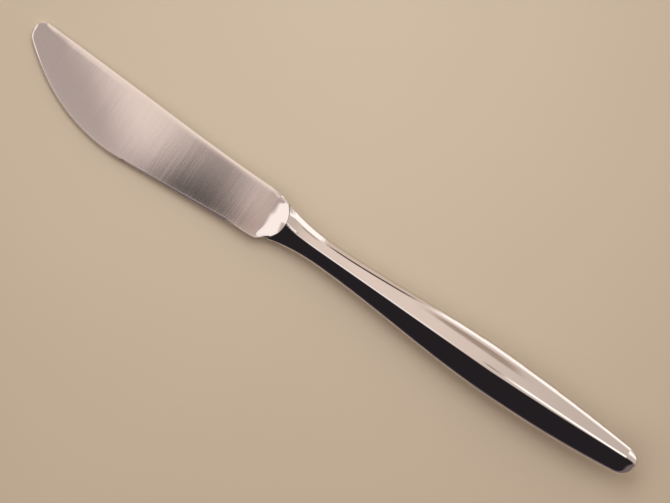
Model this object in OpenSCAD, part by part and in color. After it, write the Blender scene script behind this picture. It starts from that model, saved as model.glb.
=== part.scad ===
// Table knife with a forged steel blade and a hollow handle of two pressed half shells.
// The blade points to -X, its cutting edge faces -Y, and the knife lies flat on one side.
// The origin is under the middle of the knife, at the level that it lies on.

/* [Blade] */
// Length of the blade from its front to the middle of the joint line
blade_l = 92; // [75:1:120]
// Height of the highest point of the spine over the axis of the handle
spine_rise = 9.1; // [8:0.1:11]
// Depth of the lowest point of the cutting edge under the axis of the handle
belly_drop = 11.6; // [9:0.1:14]
// Distance from the front to the lowest point of the cutting edge
belly_x = 38; // [32:1:44]
// Angle at which the rear cutting edge climbs to the heel
belly_climb = 4.7; // [2:0.1:6]
// Radius of the corner where the front meets the spine
corner_r = 2.6; // [1:0.1:3.2]
// Radius of the nose where the front meets the cutting edge
nose_r = 4.3; // [3:0.1:6]
// Length of the straight front between the corner and the nose
front_flat = 1; // [0.5:0.1:2]
// How far the rear of the spine dips under a straight line
spine_sag = 0.4; // [0:0.1:0.8]
// Thickness of the spine at the heel
spine_t = 2.2; // [1.8:0.1:3]
// Thickness of the spine at the front
tip_t = 1.5; // [1.3:0.1:2]
// Thickness beside the cutting edge at its lowest point
edge_t = 0.9; // [0.8:0.1:1.2]
// Thickness that is left on the cutting edge itself
edge_land = 0.3; // [0.1:0.05:0.5]
// Width of the fine bevel along the cutting edge at its lowest point
bevel_w = 0.6; // [0.4:0.1:1.5]
// Angle along the front sweep that the bevel leaves free behind the nose
bevel_lead = 2.5; // [1:0.5:10]

/* [Heel and shoulder] */
// Length of the heel from the joint line forward
heel_l = 9; // [8:0.5:12]
// Width of the knife at the front of the heel
heel_w = 15.2; // [14:0.1:17]
// How far the heel hangs under the axis of the handle
heel_drop = 0.4; // [0:0.1:1]
// Length of the cove between the flat face and the joint line
cove_l = 6; // [5:0.5:7]
// Radius of the cove
cove_r = 9; // [8:0.5:14]

/* [Handle] */
// Length of the handle from the middle of the joint line to the butt
handle_l = 123; // [100:1:140]
// Greatest width of the handle
handle_w = 13.9; // [12:0.1:17]
// Greatest thickness of the handle
handle_t = 8.6; // [7:0.1:10]
// Width of the handle at its mouth
mouth_w = 11; // [10:0.1:12]
// Thickness of the handle at its mouth
mouth_t = 6.9; // [6.5:0.1:7.5]
// Width of the handle at its neck
neck_w = 8.4; // [7.5:0.1:10]
// Thickness of the handle at its neck
neck_t = 6.4; // [6:0.1:7]
// Distance from the mouth to the neck
neck_x = 13; // [10:1:20]
// Distance from the mouth to the widest place
wide_x = 72; // [60:1:85]
// Width that the handle tapers to before its butt is rounded
butt_w = 7.9; // [7:0.1:10]
// Thickness that the handle tapers to before its butt is rounded
butt_t = 6.4; // [6:0.1:8]
// Length of the rounding of the butt
butt_l = 5; // [3:0.5:8]
// How far the butt rises to the side of the spine
butt_lift = 0.55; // [0:0.05:1.5]
// How far the sides of the mouth reach forward of its middle
mouth_bow = 2.4; // [1:0.1:3]

/* [Handle section] */
// Rounding of the ridge at the widest place
ridge_r = 1.2; // [1:0.1:2]
// Rounding of the ridge at the butt
butt_ridge_r = 3; // [1.5:0.1:3.2]
// Rounding of the edge on the side of the spine
spine_edge_r = 3; // [1.5:0.1:3.2]
// Rounding of the edge on the side of the cutting edge
belly_edge_r = 1.7; // [1.5:0.1:3]
// Wall of the pressed shells
wall_t = 0.8; // [0.6:0.05:1]
// Thickness of the solder line between the two shells
seam_t = 0.12; // [0.08:0.01:0.2]

/* [Tang and bedding] */
// Length of the plug that fills the mouth of the handle
plug_l = 7; // [5:0.5:10]
// Length of the tang from the middle of the joint line
tang_l = 62; // [40:1:80]
// Width of the tang where it leaves the plug
tang_w = 3.6; // [3:0.1:3.8]
// Width of the tang at its end
tang_end_w = 2.6; // [2:0.1:3]
// Thickness of the tang
tang_t = 2; // [1.6:0.1:2.2]
// Clearance between the plug and the inside of the shells
plug_gap = 0.15; // [0.1:0.05:0.3]
// Thickness of the solder ring between shoulder and mouth
ring_t = 0.12; // [0.08:0.01:0.2]
// Clearance round the cement, at the tang and at the shells
bed_gap = 0.05; // [0.02:0.01:0.1]

/* [Hidden] */
// Overrun of every cut and overlap of every join inside one piece
over = 0.3;
// Curve of the joint line, of the rounding of the butt and of its lift to one side
bow_power = 2.3;
butt_power = 2.5;
lift_power = 3;
// Where along the spine its dip is deepest, as a power of the way to the heel
sag_power = 3;
// Smallest share of a rounding that an inner surface keeps
least_r_share = 0.12;
// Steps on each edge rounding, on each flat beside the ridge, on the ridge and on the blade's curves
edge_steps = 5;
facet_steps = 3;
ridge_steps = 8;
curve_steps = 14;
// Shares along each stretch of the handle at which it has a ring
mouth_shares = [0, 0.18, 0.38, 0.6, 0.8];
waist_shares = [0, 0.1, 0.22, 0.34, 0.46, 0.58, 0.7, 0.85];
taper_shares = [0, 0.2, 0.38, 0.54, 0.68, 0.8, 0.9];
round_shares = [0, 0.25, 0.48, 0.66, 0.8, 0.9, 0.965, 0.993];
// Rings of the short shoulder and of the plug
shoulder_shares = [0, 0.2, 0.4, 0.6, 0.8, 1];
plug_shares = [0, 0.5, 1];
// Slopes of the flat face toward the front and toward the cutting edge
front_x = corner_r - blade_l;
face_fall_x = (spine_t - tip_t) / 2 / (-heel_l - front_x);
deep_x = belly_x - blade_l;
deep_spine_z = spine_t / 2 + face_fall_x * (deep_x + heel_l);
face_fall_y = (deep_spine_z - edge_t / 2) / (spine_rise + belly_drop);
// Slope of the fine bevel
bevel_fall = (edge_t - edge_land) / 2 / bevel_w;
// Centres of the arcs of the blade's outline, and the radius of the front sweep that joins the nose
corner_c = [front_x, spine_rise - corner_r];
nose_c = [nose_r - blade_l, corner_c[1] - front_flat];
nose_run = deep_x - nose_c[0];
nose_drop = nose_c[1] + belly_drop;
belly_r = (pow(nose_run, 2) + pow(nose_drop, 2) - pow(nose_r, 2)) / 2 / (nose_drop - nose_r);
belly_c = [deep_x, belly_r - belly_drop];
nose_angle = atan2(nose_c[1] - belly_c[1], nose_c[0] - belly_c[0]);
climb_angle = belly_climb - 90;

// Smooth way from 0 to 1
function ease(u) = u <= 0 ? 0 : u >= 1 ? 1 : u * u * (3 - 2 * u);

// Curve between two values that leaves a with slope 0 and reaches b with the given rise
function settle(u, a, b, rise) = a + (b - a) * ease(u) + rise * (u * u * u - u * u);

// Half a size of the handle at x, from its values at heel, mouth, neck, widest place and butt
function flare(x, mouth, neck) = neck + (mouth - neck) * pow((neck_x - x) / neck_x, 2);
function swell(x, neck, wide) = neck + (wide - neck) * ease((x - neck_x) / (wide_x - neck_x));
function taper(x, wide, butt) = wide - (wide - butt) * pow((x - wide_x) / (handle_l - wide_x), 2);
function along(x, mouth, neck, wide, butt) =
    x < neck_x ? flare(x, mouth, neck) : x < wide_x ? swell(x, neck, wide) : taper(x, wide, butt);

// Half width, half thickness and side shift of the form at x, before the butt is rounded
mouth_rise = -(mouth_w - neck_w) / neck_x * heel_l;
function heel_half_w(x) = settle(1 + x / heel_l, heel_w / 2, mouth_w / 2, mouth_rise);
function half_w(x) =
    x < 0 ? heel_half_w(x) : along(x, mouth_w / 2, neck_w / 2, handle_w / 2, butt_w / 2);
function half_t(x) = along(x, mouth_t / 2, neck_t / 2, handle_t / 2, butt_t / 2) - seam_t / 2;
function shift_y(x) =
    x < 0 ? -heel_drop * ease(-x / heel_l)
    : x < wide_x ? 0
    : butt_lift * pow((x - wide_x) / (handle_l - wide_x), lift_power);

// How far the section has closed at x within the rounding of the butt, which ends inset early
function round_start() = handle_l - butt_l;
function closing(x, inset) =
    x <= round_start() ? 1
    : pow(1 - pow(min(1, (x - round_start()) / (butt_l - inset)), butt_power), 1 / butt_power);

// Rounding at x, smaller where the handle is thinner
function round_at(x, r) = r * half_t(x) / (handle_t / 2);
function ridge_at(x) =
    x < wide_x ? round_at(x, ridge_r)
    : ridge_r + (butt_ridge_r - ridge_r) * pow((x - wide_x) / (handle_l - wide_x), 2);
function inner_r(r, inset) = max(r - inset, r * least_r_share);

// Angle at which the line that touches an edge circle and the ridge circle leaves them
function touch_angle(run, rise, edge_r, top_r) =
    acos((top_r - edge_r) / norm([run, rise])) - atan2(rise, run);

// Upper half of the section at x as [y, z], from the side of the spine over the ridge
function half_section(x, inset) =
    let (
        f = closing(x, inset),
        w = half_w(x) - inset,
        h = half_t(x) - inset,
        top_r = inner_r(ridge_at(x), inset),
        a_r = inner_r(round_at(x, spine_edge_r), inset),
        b_r = inner_r(round_at(x, belly_edge_r), inset),
        a_angle = touch_angle(w - a_r, h - top_r, a_r, top_r),
        b_angle = 180 - touch_angle(w - b_r, h - top_r, b_r, top_r),
        a_edge = bend([w - a_r, 0], a_r, 0, a_angle, edge_steps),
        ridge = bend([0, h - top_r], top_r, a_angle, b_angle, ridge_steps),
        b_edge = bend([b_r - w, 0], b_r, b_angle, 180, edge_steps),
        a_flat = between(a_edge[edge_steps], ridge[0]),
        b_flat = between(ridge[ridge_steps], b_edge[0])
    )
    [for (p = concat(a_edge, a_flat, ridge, b_flat, b_edge))
        [shift_y(x) + f * p[0], seam_t / 2 + f * p[1]]];
function turn(a) = [cos(a), sin(a)];
function bend(c, r, a, b, steps) = [for (i = [0:steps]) c + r * turn(a + (b - a) * i / steps)];
function between(p, q) = [for (i = [1:facet_steps - 1]) p + (q - p) * i / facet_steps];
ring_points = 2 * edge_steps + 2 * facet_steps + ridge_steps + 1;

// How far forward of its middle the mouth lies at y
function bow(y) = mouth_bow * pow(abs(y) / (mouth_w / 2), bow_power);

// Upper half ring at x, drawn forward by a share of the mouth's bow
function half_ring(x, inset, bow_share) =
    [for (i = [0:ring_points - 1])
        let (
            y = half_section(x, inset)[i][0],
            at = x - bow_share * bow(y),
            p = half_section(at, inset)[i]
        )
        [at, p[0], p[1]]];
function lower_half(ring) = [for (i = [len(ring) - 1:-1:0]) [ring[i][0], ring[i][1], -ring[i][2]]];
function full_ring(x, inset, bow_share) =
    let (top = half_ring(x, inset, bow_share)) concat(top, lower_half(top));

// Stations of the shells as [x, share of the mouth's bow]
function shell_stations(inset) = concat(
    [for (s = mouth_shares) [s * neck_x, 1 - ease(s)]],
    [for (s = waist_shares) [neck_x + s * (wide_x - neck_x), 0]],
    [for (s = taper_shares) [wide_x + s * (round_start() - wide_x), 0]],
    [for (s = round_shares) [round_start() + s * (butt_l - inset), 0]]);
function bed_stations(start, inset) = concat(
    [[start, 0]],
    [for (s = shell_stations(inset)) if (s[0] > start) [s[0], 0]]);
function flat(lists) = [for (list = lists) each list];

// Triangles between rings that start at a and b, each of n points, closed or open
function band(a, b, n, closed) =
    flat([for (i = [0:n - (closed ? 1 : 2)])
        let (j = (i + 1) % n) [[a + i, b + i, b + j], [a + i, b + j, a + j]]]);
function reversed(faces) = [for (f = faces) [f[2], f[1], f[0]]];

// Closed body through full rings, with upright end faces or a point as its end
module skin_body(rings, tip) {
    n = len(rings[0]);
    last = (len(rings) - 1) * n;
    pointed = len(tip) > 0;
    points = concat(flat(rings), tip);
    sides = flat([for (k = [0:len(rings) - 2]) band(k * n, (k + 1) * n, n, true)]);
    start = [for (i = [0:n / 2 - 2]) [i, i + 1, n - 2 - i, n - 1 - i]];
    finish = pointed
        ? [for (i = [0:n - 1]) [last + i, last + n, last + (i + 1) % n]]
        : [for (f = start) [last + f[3], last + f[2], last + f[1], last + f[0]]];
    polyhedron(points, concat(sides, start, finish));
}

// One pressed half shell: outer and inner skins, closed by the mouth and by the parting rim
module half_shell() {
    n = ring_points;
    outer = [for (s = shell_stations(0)) half_ring(s[0], 0, s[1])];
    inner = [for (s = shell_stations(wall_t)) half_ring(s[0], wall_t, s[1])];
    count = len(outer);
    size = count * n;
    butt = [handle_l, shift_y(handle_l), seam_t / 2];
    hollow_butt = [handle_l - wall_t, shift_y(handle_l - wall_t), seam_t / 2];
    points = concat(flat(outer), flat(inner), [butt, hollow_butt]);
    outside = flat([for (k = [0:count - 2]) band(k * n, (k + 1) * n, n, false)]);
    inside = reversed([for (f = outside) [f[0] + size, f[1] + size, f[2] + size]]);
    mouth = band(size, 0, n, false);
    last = (count - 1) * n;
    outside_end = [for (i = [0:n - 2]) [last + i, 2 * size, last + i + 1]];
    inside_end = [for (i = [0:n - 2]) [size + last + i + 1, 2 * size + 1, size + last + i]];
    spine_rim = flat([for (k = [0:count - 2])
        let (a = k * n, b = a + n) [[a, size + a, b], [b, size + a, size + b]]]);
    belly_rim = flat([for (k = [0:count - 2])
        let (a = k * n + n - 1, b = a + n) [[a, b, size + a], [b, size + b, size + a]]]);
    spine_end = [[last, size + last, 2 * size], [2 * size, size + last, 2 * size + 1]];
    belly_end = [[last + n - 1, 2 * size, size + last + n - 1],
        [2 * size, 2 * size + 1, size + last + n - 1]];
    polyhedron(points, concat(outside, inside, mouth, outside_end, inside_end,
        spine_rim, belly_rim, spine_end, belly_end));
}

// Rim of the shells seen from above, outside and then back along the inside
function rim_side(inset, i) = [for (s = shell_stations(inset)) select(half_ring(s[0], inset, s[1])[i])];
function select(p) = [p[0], p[1]];
function backward(list) = [for (i = [len(list) - 1:-1:0]) list[i]];
module rim_outline() {
    polygon(concat(
        rim_side(0, 0),
        [[handle_l, shift_y(handle_l)]],
        backward(rim_side(0, ring_points - 1)),
        rim_side(wall_t, ring_points - 1),
        [[handle_l - wall_t, shift_y(handle_l - wall_t)]],
        backward(rim_side(wall_t, 0))));
}

// Spine from the corner to the heel, and the two sides of the heel
heel_front = [-heel_l, shift_y(-heel_l) + half_w(-heel_l)];
spine_front = [front_x, spine_rise];
sag_scale = pow(sag_power + 1, sag_power + 1) / pow(sag_power, sag_power);
function spine_at(u) =
    spine_front + u * (heel_front - spine_front)
    - [0, spine_sag * sag_scale * pow(u, sag_power) * (1 - u)];
spine_line = [for (i = [1:curve_steps - 1]) spine_at(i / curve_steps)];
function heel_side(side) = [for (i = [0:curve_steps])
    let (x = -heel_l + i / curve_steps * (heel_l - cove_l + over)) [x, shift_y(x) + side * half_w(x)]];

// The flat of the blade seen from above
module blade_outline() {
    polygon(concat(
        bend(corner_c, corner_r, 180, 90, curve_steps),
        spine_line,
        heel_side(1),
        backward(heel_side(-1)),
        bend(belly_c, belly_r, climb_angle, nose_angle, curve_steps),
        bend(nose_c, nose_r, nose_angle, -180, curve_steps)));
}

// Moves a cut from level ground to the upper face of the blade, at the front of the cove
module on_face() {
    translate([-cove_l, 0, spine_t / 2 - face_fall_y * heel_front[1]])
        rotate([atan(face_fall_y), 0, 0])
            rotate([0, -atan(face_fall_x), 0])
                children();
}

// All that is taken off above the flat face, ending in the round cove
module face_cut() {
    on_face() {
        translate([-blade_l, -heel_w, 0]) cube([blade_l, 2 * heel_w, mouth_t]);
        translate([0, 0, cove_r]) rotate([90, 0, 0])
            cylinder(h = 2 * heel_w, r = cove_r, center = true, $fn = 96);
    }
}

// Section of the cut that grinds the fine bevel, with x as the way across the cutting edge
module bevel_section() {
    polygon([
        [-mouth_t / bevel_fall, edge_land / 2 + mouth_t],
        [over, edge_land / 2 - over * bevel_fall],
        [over, edge_land / 2 + mouth_t]]);
}

// Bevel along the front sweep and along the straight rear of the cutting edge
module bevel_cut() {
    climb_end = belly_c + belly_r * turn(climb_angle);
    rear_l = norm(heel_side(-1)[0] - climb_end);
    translate(belly_c) rotate([0, 0, nose_angle + bevel_lead])
        rotate_extrude(angle = climb_angle - nose_angle - bevel_lead, $fn = 180)
            translate([belly_r, 0]) intersection() {
                bevel_section();
                translate([-bevel_w * 3, 0]) square([bevel_w * 3 + over, mouth_t]);
            }
    translate(climb_end) rotate([0, 0, belly_climb]) rotate([90, 0, 90])
        linear_extrude(rear_l) mirror([1, 0]) bevel_section();
}

// Shoulder: the handle's own form carried forward to the front of the heel
module shoulder_form() {
    skin_body([for (s = shoulder_shares)
        let (x = (s - 1) * heel_l - s * ring_t) full_ring(x, 0, s)], []);
}

// Plug that fills the mouth of the handle, just behind the shoulder
module plug_form() {
    inset = wall_t + plug_gap;
    skin_body([for (s = plug_shares)
        full_ring(s * plug_l - (1 - s) * (ring_t + over), inset, 1 - s)], []);
}

// Flat tang, narrowing to its end
module tang_form(gap) {
    linear_extrude(tang_t + 2 * gap, center = true)
        polygon([
            [plug_l / 2, -tang_w / 2 - gap], [tang_l + gap, -tang_end_w / 2 - gap],
            [tang_l + gap, tang_end_w / 2 + gap], [plug_l / 2, tang_w / 2 + gap]]);
}

// Puts the knife over the origin
module placed() {
    translate([(blade_l - handle_l) / 2, (belly_drop - spine_rise) / 2, handle_t / 2]) children();
}

module blade() {
    color("#b5b1ad") placed() {
        difference() {
            union() {
                linear_extrude(spine_t + 2 * over, center = true) blade_outline();
                shoulder_form();
            }
            face_cut();
            mirror([0, 0, 1]) face_cut();
            bevel_cut();
            mirror([0, 0, 1]) bevel_cut();
        }
        plug_form();
        tang_form(0);
    }
}

module upper_shell() {
    color("#d9d5d0") placed() half_shell();
}

module lower_shell() {
    color("#c9c5c0") placed() mirror([0, 0, 1]) half_shell();
}

module seam_solder() {
    color("#8f8b86") placed() linear_extrude(seam_t, center = true) rim_outline();
}

// Face between an inner and an outer ring, split the same way over the upper and the lower half
function wall_face(inner, outer, n) = flat([for (i = [0:n - 1])
    let (j = (i + 1) % n, upper = i < n / 2)
    upper
        ? [[inner + i, outer + i, outer + j], [inner + i, outer + j, inner + j]]
        : [[inner + i, outer + i, inner + j], [inner + j, outer + i, outer + j]]]);

// Ring as wide as the wall of the shells, bowed like the mouth
module mouth_solder() {
    front = full_ring(-ring_t, 0, 1);
    back = full_ring(0, 0, 1);
    back_in = full_ring(0, wall_t, 1);
    front_in = full_ring(-ring_t, wall_t, 1);
    n = len(front);
    color("#6f6b66") placed()
        polyhedron(concat(front, back, back_in, front_in), concat(
            band(0, n, n, true), reversed(wall_face(2 * n, n, n)),
            band(2 * n, 3 * n, n, true), wall_face(3 * n, 0, n)));
}

module bedding_cement() {
    inset = wall_t + bed_gap;
    start = plug_l + bed_gap;
    rings = [for (s = bed_stations(start, inset)) full_ring(s[0], inset, s[1])];
    color("#7a5a45") placed() difference() {
        skin_body(rings, [[handle_l - inset, shift_y(handle_l - inset), 0]]);
        tang_form(bed_gap);
    }
}

blade();
upper_shell();
lower_shell();
seam_solder();
mouth_solder();
bedding_cement();
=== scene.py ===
import bpy
import math
import numpy as np
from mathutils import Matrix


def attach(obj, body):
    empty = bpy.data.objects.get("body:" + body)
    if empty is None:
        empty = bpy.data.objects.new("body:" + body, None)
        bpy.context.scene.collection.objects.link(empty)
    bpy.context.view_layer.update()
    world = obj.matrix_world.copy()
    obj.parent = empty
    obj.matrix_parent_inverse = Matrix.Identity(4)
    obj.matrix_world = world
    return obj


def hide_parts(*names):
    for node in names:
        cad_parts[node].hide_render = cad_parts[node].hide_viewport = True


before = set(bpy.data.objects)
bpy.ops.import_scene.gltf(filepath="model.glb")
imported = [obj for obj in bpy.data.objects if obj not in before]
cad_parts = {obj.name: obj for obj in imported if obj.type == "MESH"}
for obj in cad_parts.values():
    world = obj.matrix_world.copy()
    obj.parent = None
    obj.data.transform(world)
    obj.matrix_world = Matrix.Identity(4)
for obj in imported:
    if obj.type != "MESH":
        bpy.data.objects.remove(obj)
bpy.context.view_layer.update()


# The two handle shells. Each is pressed from stainless steel sheet 0.8 mm thick, and the pair is
# soldered edge to edge into a hollow handle: waisted behind the blade, widest past its middle,
# with a ridge along the top and underside that fades toward the butt. Both are mirror polished.

MM = 0.001
HANDLE_AT = (-15.5, 1.25, 4.3)
# The sides of the mouth reach this far forward of its middle, by this power of the way out
MOUTH_BOW, BOW_POWER = 2.4, 2.3

# A size is half width, half thickness and distance of the facet's edge from the axis. Lengths are
# in millimetres, slopes are rise over run, and a higher crispness makes sharper corners.
HANDLE_SIZES = [
    ("Mouth size", "NodeSocketVector", (5.5, 3.45, 3.75)),
    ("Neck size", "NodeSocketVector", (4.2, 3.2, 2.3)),
    ("Widest size", "NodeSocketVector", (6.95, 4.3, 5.9)),
    ("Butt size", "NodeSocketVector", (3.95, 3.2, 3.57)),
    ("Neck at", "NodeSocketFloat", 13.0),
    ("Widest at", "NodeSocketFloat", 72.0),
    ("Length", "NodeSocketFloat", 123.0),
    ("Butt rounding", "NodeSocketFloat", 5.0),
    ("Butt lift", "NodeSocketFloat", 0.55),
    ("Mouth bow", "NodeSocketFloat", MOUTH_BOW),
    ("Heel drop", "NodeSocketFloat", 0.4),
    ("Heel length", "NodeSocketFloat", 9.0),
    ("Ridge aside", "NodeSocketFloat", 0.15),
    ("Ridge aside at mouth", "NodeSocketFloat", 0.8),
    ("Ridge aside at butt", "NodeSocketFloat", 0.9),
    ("Ridge land", "NodeSocketFloat", 1.5),
    ("Ridge land slope", "NodeSocketFloat", 0.21),
    ("Spine facet slope", "NodeSocketFloat", 0.27),
    ("Spine facet swell", "NodeSocketFloat", 0.05),
    ("Flank slope", "NodeSocketFloat", 0.78),
    ("Edge facet slope", "NodeSocketFloat", 0.477),
    ("Side facet slope", "NodeSocketFloat", 0.27),
    ("Crispness", "NodeSocketFloat", 24.0),
    ("Crispness at butt", "NodeSocketFloat", 11.0),
    ("Wall", "NodeSocketFloat", 0.8),
    ("Seam", "NodeSocketFloat", 0.12),
]


def add_node(tree, kind, settings=None, inputs=None):
    """Adds a node with its settings and its values or links, and returns its outputs."""
    node = tree.nodes.new(kind)
    for name, value in (settings or {}).items():
        setattr(node, name, value)
    for key, value in (inputs or {}).items():
        if isinstance(value, bpy.types.NodeSocket):
            tree.links.new(value, node.inputs[key])
        else:
            node.inputs[key].default_value = value
    return node.outputs


def calc(tree, operation, *values):
    """Adds a math node, and returns its result."""
    return add_node(tree, "ShaderNodeMath", {"operation": operation}, dict(enumerate(values)))[0]


def steel_tree(name, sizes):
    """A geometry tree with named inputs for the sizes, in millimetres, and its input sockets."""
    tree = bpy.data.node_groups.new(name, "GeometryNodeTree")
    for label, kind, value in sizes:
        socket = tree.interface.new_socket(label, in_out="INPUT", socket_type=kind)
        socket.default_value = value
    tree.interface.new_socket("Geometry", in_out="OUTPUT", socket_type="NodeSocketGeometry")
    return tree, add_node(tree, "NodeGroupInput")


def handle_section(tree, size, x, angle, inset, closing):
    """The rounded, faceted section of the handle at x: the sockets of its y and z at that angle."""
    ramp = {"interpolation_type": "LINEAR", "clamp": True}
    # How far the form has flared to the mouth, swollen to its widest and tapered to the butt
    ahead = add_node(tree, "ShaderNodeMapRange", {"clamp": False},
                     {"Value": x, "From Min": size["Neck at"], "From Max": 0.0})[0]
    ahead = calc(tree, "MAXIMUM", ahead, 0.0)
    flare = calc(tree, "MULTIPLY", ahead, ahead)
    swell = add_node(tree, "ShaderNodeMapRange", {"interpolation_type": "SMOOTHSTEP"},
                     {"Value": x, "From Min": size["Neck at"], "From Max": size["Widest at"]})[0]
    behind = add_node(tree, "ShaderNodeMapRange", ramp,
                      {"Value": x, "From Min": size["Widest at"], "From Max": size["Length"]})[0]
    taper = calc(tree, "MULTIPLY", behind, behind)
    form = size["Neck size"]
    for share, a, b in ((flare, "Neck size", "Mouth size"), (swell, "Neck size", "Widest size"),
                        (taper, "Widest size", "Butt size")):
        change = add_node(tree, "ShaderNodeVectorMath", {"operation": "SUBTRACT"},
                          {0: size[b], 1: size[a]})[0]
        form = add_node(tree, "ShaderNodeVectorMath", {"operation": "MULTIPLY_ADD"},
                        {0: change, 1: share, 2: form})[0]
    form = add_node(tree, "ShaderNodeVectorMath", {"operation": "SUBTRACT"},
                    {0: form, 1: inset})[0]
    half_w, half_t, facet_edge = add_node(tree, "ShaderNodeSeparateXYZ", None, {0: form})
    half_seam = calc(tree, "MULTIPLY", size["Seam"], 0.5)
    half_t = calc(tree, "SUBTRACT", half_t, half_seam)
    # The corners between facets are crisp, most of all at the mouth, and grow round toward the butt
    crisp = add_node(tree, "ShaderNodeMapRange", ramp,
                     {"Value": behind, "To Min": size["Crispness"],
                      "To Max": size["Crispness at butt"]})[0]
    more_at_mouth = 30.0
    crisp = calc(tree, "MULTIPLY_ADD", flare, more_at_mouth, crisp)
    share = calc(tree, "DIVIDE", 1.0, crisp)
    reach = calc(tree, "POWER", 2.0, share)
    peak = calc(tree, "MULTIPLY", half_t, reach)
    side = calc(tree, "MULTIPLY", half_w, reach)
    # The ridge stands aside toward the spine, more toward the butt, and also at the mouth, where
    # the belly's facet runs on up to meet the risen spine facet
    aside_power = 1.3
    far = calc(tree, "POWER", behind, aside_power)
    ridge = calc(tree, "MULTIPLY_ADD", far, size["Ridge aside at butt"], size["Ridge aside"])
    mouth_aside = calc(tree, "MULTIPLY", flare, flare)
    mouth_aside = calc(tree, "MULTIPLY", mouth_aside, size["Ridge aside at mouth"])
    rise = calc(tree, "ADD", size["Edge facet slope"], size["Spine facet slope"])
    rise = calc(tree, "MULTIPLY", rise, mouth_aside)
    risen = calc(tree, "ADD", peak, rise)
    land_fall = calc(tree, "SUBTRACT", size["Spine facet slope"], size["Ridge land slope"])
    # A narrow land runs beside the ridge and is gone before the mouth
    land_gone = 0.35
    land = add_node(tree, "ShaderNodeMapRange", ramp,
                    {"Value": flare, "From Max": land_gone,
                     "To Min": size["Ridge land"], "To Max": 0.0})[0]
    land_fall = calc(tree, "MULTIPLY", land_fall, land)
    crest = calc(tree, "SUBTRACT", peak, land_fall)
    risen_crest = calc(tree, "SUBTRACT", risen, land_fall)
    one_side = calc(tree, "DIVIDE", 1.0, side)
    # Each facet is held as its normal over its distance from the axis, first the belly's two
    wide = calc(tree, "ADD", side, ridge)
    part = calc(tree, "MULTIPLY_ADD", ridge, 0.5, side)
    low = calc(tree, "MULTIPLY", size["Edge facet slope"], part)
    low = calc(tree, "DIVIDE", low, wide)
    low_back = calc(tree, "MULTIPLY", low, -1.0)
    edge_y = calc(tree, "MULTIPLY", one_side, -1.0)
    edge_z = calc(tree, "MULTIPLY", one_side, size["Side facet slope"])
    edge_under = calc(tree, "MULTIPLY", edge_z, -1.0)
    facets = [(edge_y, edge_z), (edge_y, edge_under)]
    # The land beside the ridge and the spine facet, which swells a little
    facet_slope = size["Spine facet slope"]
    fuller = calc(tree, "MULTIPLY", swell, size["Spine facet swell"])
    swell_at_edge = calc(tree, "MULTIPLY", facet_edge, fuller)
    outer_slope = calc(tree, "MULTIPLY_ADD", fuller, 2.0, facet_slope)
    outer_peak = calc(tree, "ADD", risen, swell_at_edge)
    aside_rise = calc(tree, "MULTIPLY", ridge, facet_slope)
    outer_peak = calc(tree, "ADD", outer_peak, aside_rise)
    planes = [(slope, calc(tree, "MULTIPLY_ADD", slope, ridge, high)) for slope, high in
              ((low_back, crest), (size["Ridge land slope"], risen_crest), (facet_slope, risen))]
    # The flank: a facet, and outside it a steep fall to the seam
    fall = calc(tree, "MULTIPLY", facet_edge, outer_slope)
    corner = calc(tree, "SUBTRACT", outer_peak, fall)
    flank_slope = size["Flank slope"]
    flank_peak = calc(tree, "MULTIPLY_ADD", facet_edge, flank_slope, corner)
    planes += [(outer_slope, outer_peak), (flank_slope, flank_peak)]
    for slope, high in planes:
        facet_z = calc(tree, "DIVIDE", 1.0, high)
        facets.append((calc(tree, "MULTIPLY", slope, facet_z), facet_z))
    used = calc(tree, "MULTIPLY", facet_edge, one_side)
    left = calc(tree, "SUBTRACT", 1.0, used)
    side_z = calc(tree, "DIVIDE", left, corner)
    # How far the steep fall leans inward, as a share of what a plain facet there would lean
    at_neck, more_at_widest, less_at_mouth = 0.38, 0.2, -0.25
    lean = calc(tree, "MULTIPLY_ADD", swell, more_at_widest, at_neck)
    lean = calc(tree, "MULTIPLY_ADD", flare, less_at_mouth, lean)
    side_z = calc(tree, "MULTIPLY", side_z, lean)
    under_z = calc(tree, "MULTIPLY", side_z, -1.0)
    facets += [(one_side, side_z), (one_side, under_z)]
    # The facets' distances are summed by a high power, which rounds the corners between them
    cosine = calc(tree, "COSINE", angle)
    sine = calc(tree, "SINE", angle)
    far_y = calc(tree, "MULTIPLY", cosine, half_w)
    far_z = calc(tree, "MULTIPLY", sine, half_w)
    total = 0.0
    for facet_y, facet_z in facets:
        along_y = calc(tree, "MULTIPLY", facet_y, far_y)
        near = calc(tree, "MULTIPLY_ADD", facet_z, far_z, along_y)
        near = calc(tree, "MAXIMUM", near, 0.0)
        near = calc(tree, "POWER", near, crisp)
        total = calc(tree, "ADD", near, total)
    back = calc(tree, "MULTIPLY", share, -1.0)
    radius = calc(tree, "POWER", total, back)
    radius = calc(tree, "MULTIPLY", radius, half_w)
    radius = calc(tree, "MULTIPLY", radius, closing)
    # The axis drops a little at the heel and lifts a little at the butt
    fore = calc(tree, "MULTIPLY", x, -1.0)
    dip = add_node(tree, "ShaderNodeMapRange", {"interpolation_type": "SMOOTHSTEP"},
                   {"Value": fore, "From Min": 0.0, "From Max": size["Heel length"],
                    "To Min": 0.0, "To Max": size["Heel drop"]})[0]
    lift = calc(tree, "MULTIPLY", taper, behind)
    axis_y = calc(tree, "MULTIPLY", lift, size["Butt lift"])
    axis_y = calc(tree, "SUBTRACT", axis_y, dip)
    y = calc(tree, "MULTIPLY_ADD", radius, cosine, axis_y)
    z = calc(tree, "MULTIPLY_ADD", radius, sine, half_seam)
    return y, z


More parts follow.
